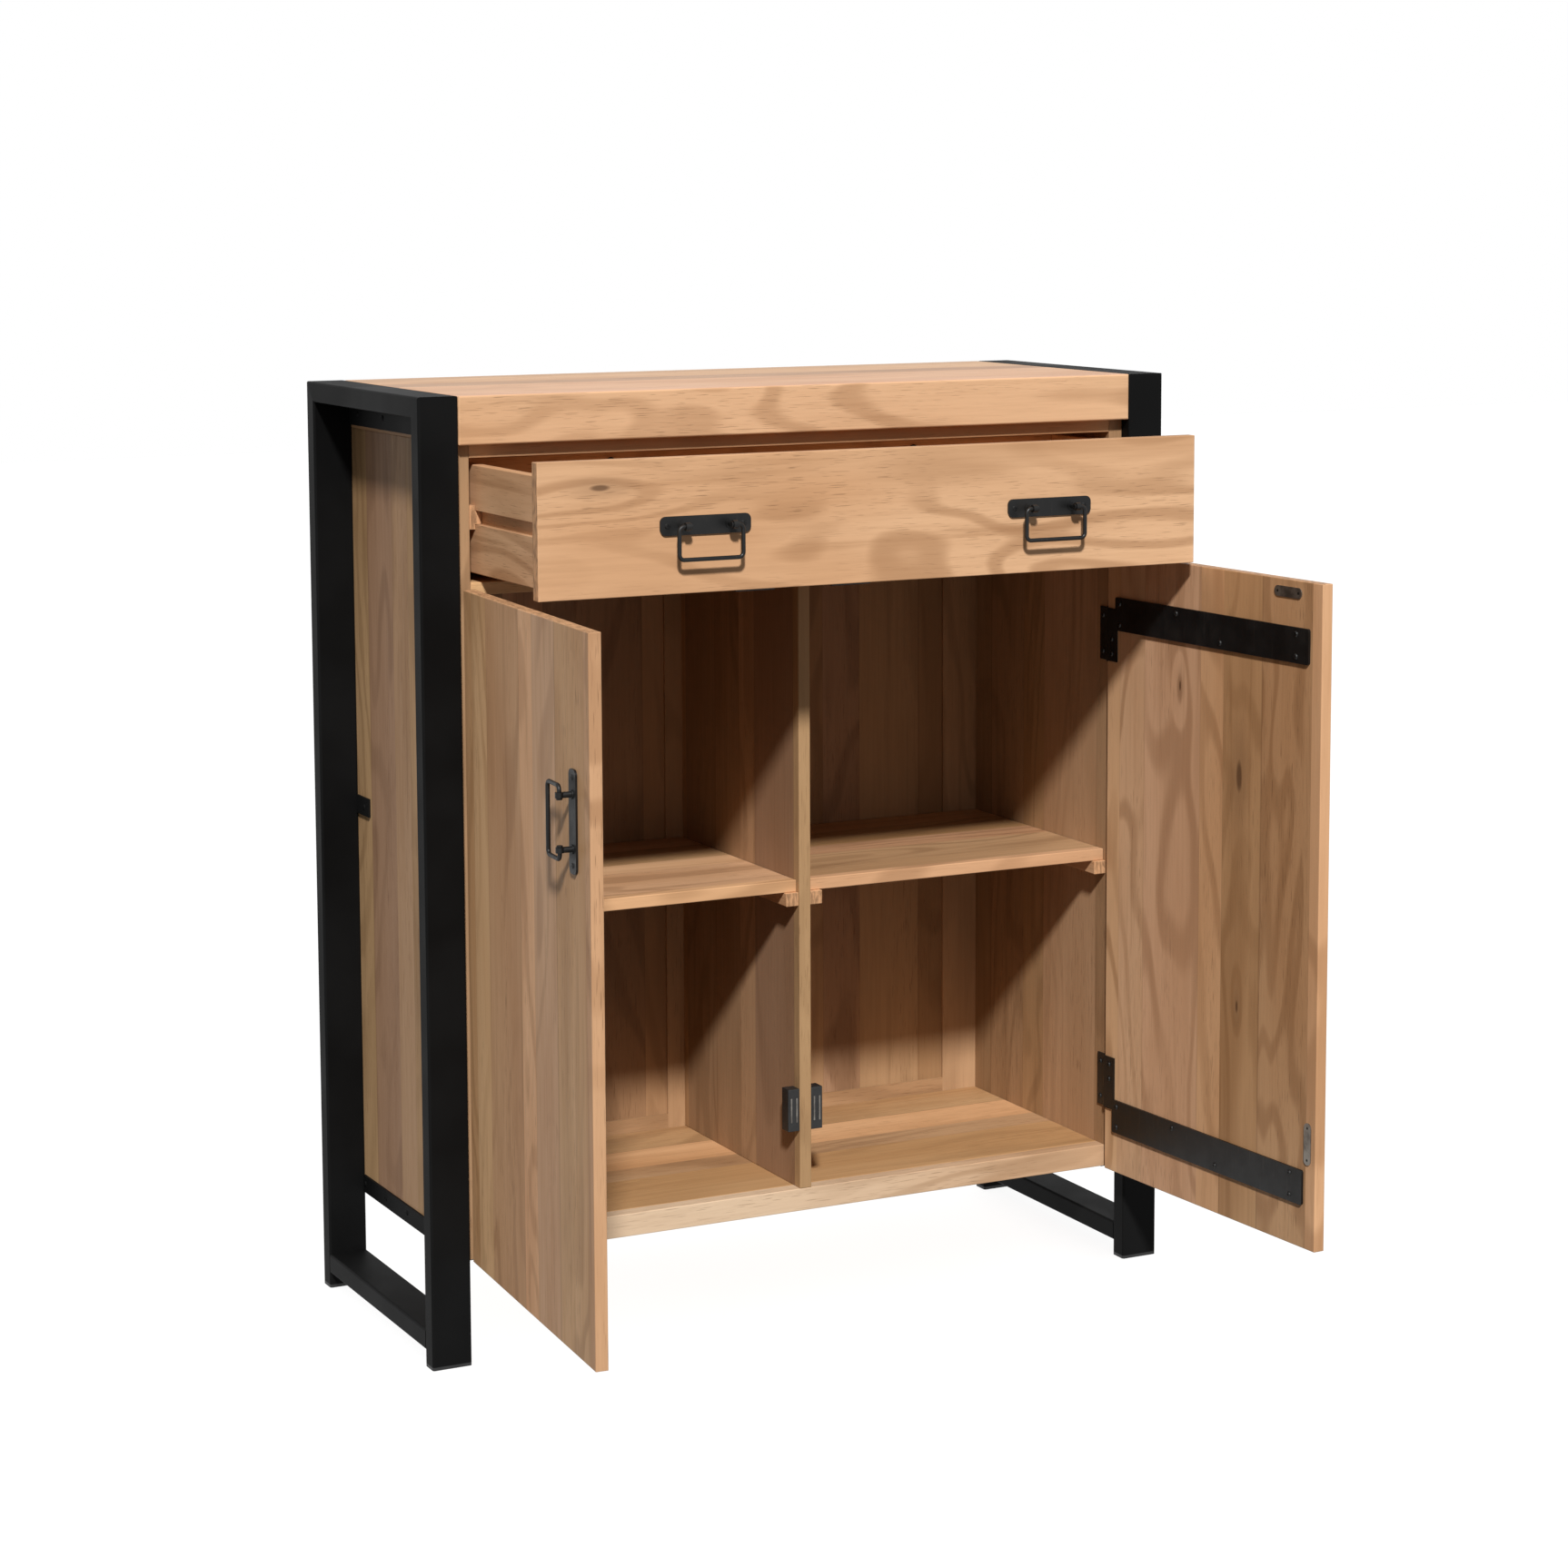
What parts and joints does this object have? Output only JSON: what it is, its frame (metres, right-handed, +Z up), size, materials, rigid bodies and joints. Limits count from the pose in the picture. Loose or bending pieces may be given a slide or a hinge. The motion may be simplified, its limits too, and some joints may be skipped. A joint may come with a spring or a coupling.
{
  "type": "sideboard",
  "caption": "Tall sideboard: wooden cabinet carried by two black rectangular-tube frames, with a wide drawer over a pair of hinged doors and shelved compartments behind them.",
  "frame": {"origin": "on the floor, in the middle of the box around the rest pose, which has the drawer pulled out and the doors open", "axes": "+X to the right as seen from the front, +Y to the back, +Z up; the drawer pulls out and the doors open towards -Y"},
  "size_m": [1.015, 0.8102, 1.16],
  "materials": {
    "wood": "satin lacquered light brown hardwood with visible grain",
    "black_steel": "satin black powder coat",
    "bright_steel": "plain zinc-plated steel",
    "black_plastic": "matte black plastic"
  },
  "bodies": {
    "cabinet": {"left_front_leg": "black_steel", "left_rear_leg": "black_steel", "left_top_rail": "black_steel", "left_floor_runner": "black_steel", "right_front_leg": "black_steel", "right_rear_leg": "black_steel", "right_top_rail": "black_steel", "right_floor_runner": "black_steel", "foot_caps": "black_plastic", "bottom_angles": "black_steel", "top_brackets": "black_steel", "rear_clips": "black_steel", "frame_screws": "black_steel", "top_board": "wood", "top_front_apron": "wood", "top_rear_apron": "wood", "top_end_battens": "wood", "left_side_panel": "wood", "right_side_panel": "wood", "cabinet_ceiling": "wood", "mid_board": "wood", "bottom_board": "wood", "bottom_front_rail": "wood", "divider": "wood", "left_shelf": "wood", "right_shelf": "wood", "shelf_cleats": "wood", "drawer_runners": "wood", "back_stiles": "wood", "back_rails": "wood", "left_back_panel": "wood", "right_back_panel": "wood", "catch_bodies": "black_plastic", "catch_poles": "bright_steel", "left_hinge_leaves": "bright_steel", "right_hinge_leaves": "bright_steel", "left_hinge_pins": "bright_steel", "right_hinge_pins": "bright_steel", "hinge_leaf_screws": "bright_steel"},
    "left_door": {"left_door_panel": "wood", "left_door_straps": "black_steel", "left_door_strikes": "bright_steel", "left_door_screws": "black_steel", "left_door_handle": "black_steel"},
    "left_door_bail": {"left_door_bail": "black_steel"},
    "right_door": {"right_door_panel": "wood", "right_door_straps": "black_steel", "right_door_strikes": "bright_steel", "right_door_screws": "black_steel", "right_door_handle": "black_steel"},
    "right_door_bail": {"right_door_bail": "black_steel"},
    "drawer": {"drawer_front": "wood", "drawer_left_side": "wood", "drawer_right_side": "wood", "drawer_back": "wood", "drawer_bottom": "wood", "drawer_handles": "black_steel", "drawer_screws": "black_steel"},
    "drawer_left_bail": {"drawer_left_bail": "black_steel"},
    "drawer_right_bail": {"drawer_right_bail": "black_steel"}
  },
  "joints": [
    {"name": "drawer_slide", "type": "slide", "parent": "cabinet", "child": "drawer", "axis": [0, -1, 0], "range_m": [-0.184, 0.05]},
    {"name": "left_door_hinge", "type": "hinge", "parent": "cabinet", "child": "left_door", "pos_m": [-0.4373, 0.03002, 0.54], "axis": [0, 0, -1], "range_deg": [-94, 14]},
    {"name": "right_door_hinge", "type": "hinge", "parent": "cabinet", "child": "right_door", "pos_m": [0.4373, 0.03002, 0.54], "axis": [0, 0, 1], "range_deg": [-93.5, 14.5]},
    {"name": "drawer_left_bail_swing", "type": "hinge", "parent": "drawer", "child": "drawer_left_bail", "pos_m": [-0.229, -0.18338, 1.0155], "axis": [-1, 0, 0], "range_deg": [-20, 195]},
    {"name": "drawer_right_bail_swing", "type": "hinge", "parent": "drawer", "child": "drawer_right_bail", "pos_m": [0.229, -0.18338, 1.0155], "axis": [-1, 0, 0], "range_deg": [-20, 195]},
    {"name": "left_door_bail_swing", "type": "hinge", "parent": "left_door", "child": "left_door_bail", "pos_m": [-0.49354, -0.35279, 0.721], "axis": [0, 0, 1], "range_deg": [-20, 195]},
    {"name": "right_door_bail_swing", "type": "hinge", "parent": "right_door", "child": "right_door_bail", "pos_m": [0.4902, -0.35326, 0.721], "axis": [0, 0, -1], "range_deg": [-20, 195]}
  ]
}
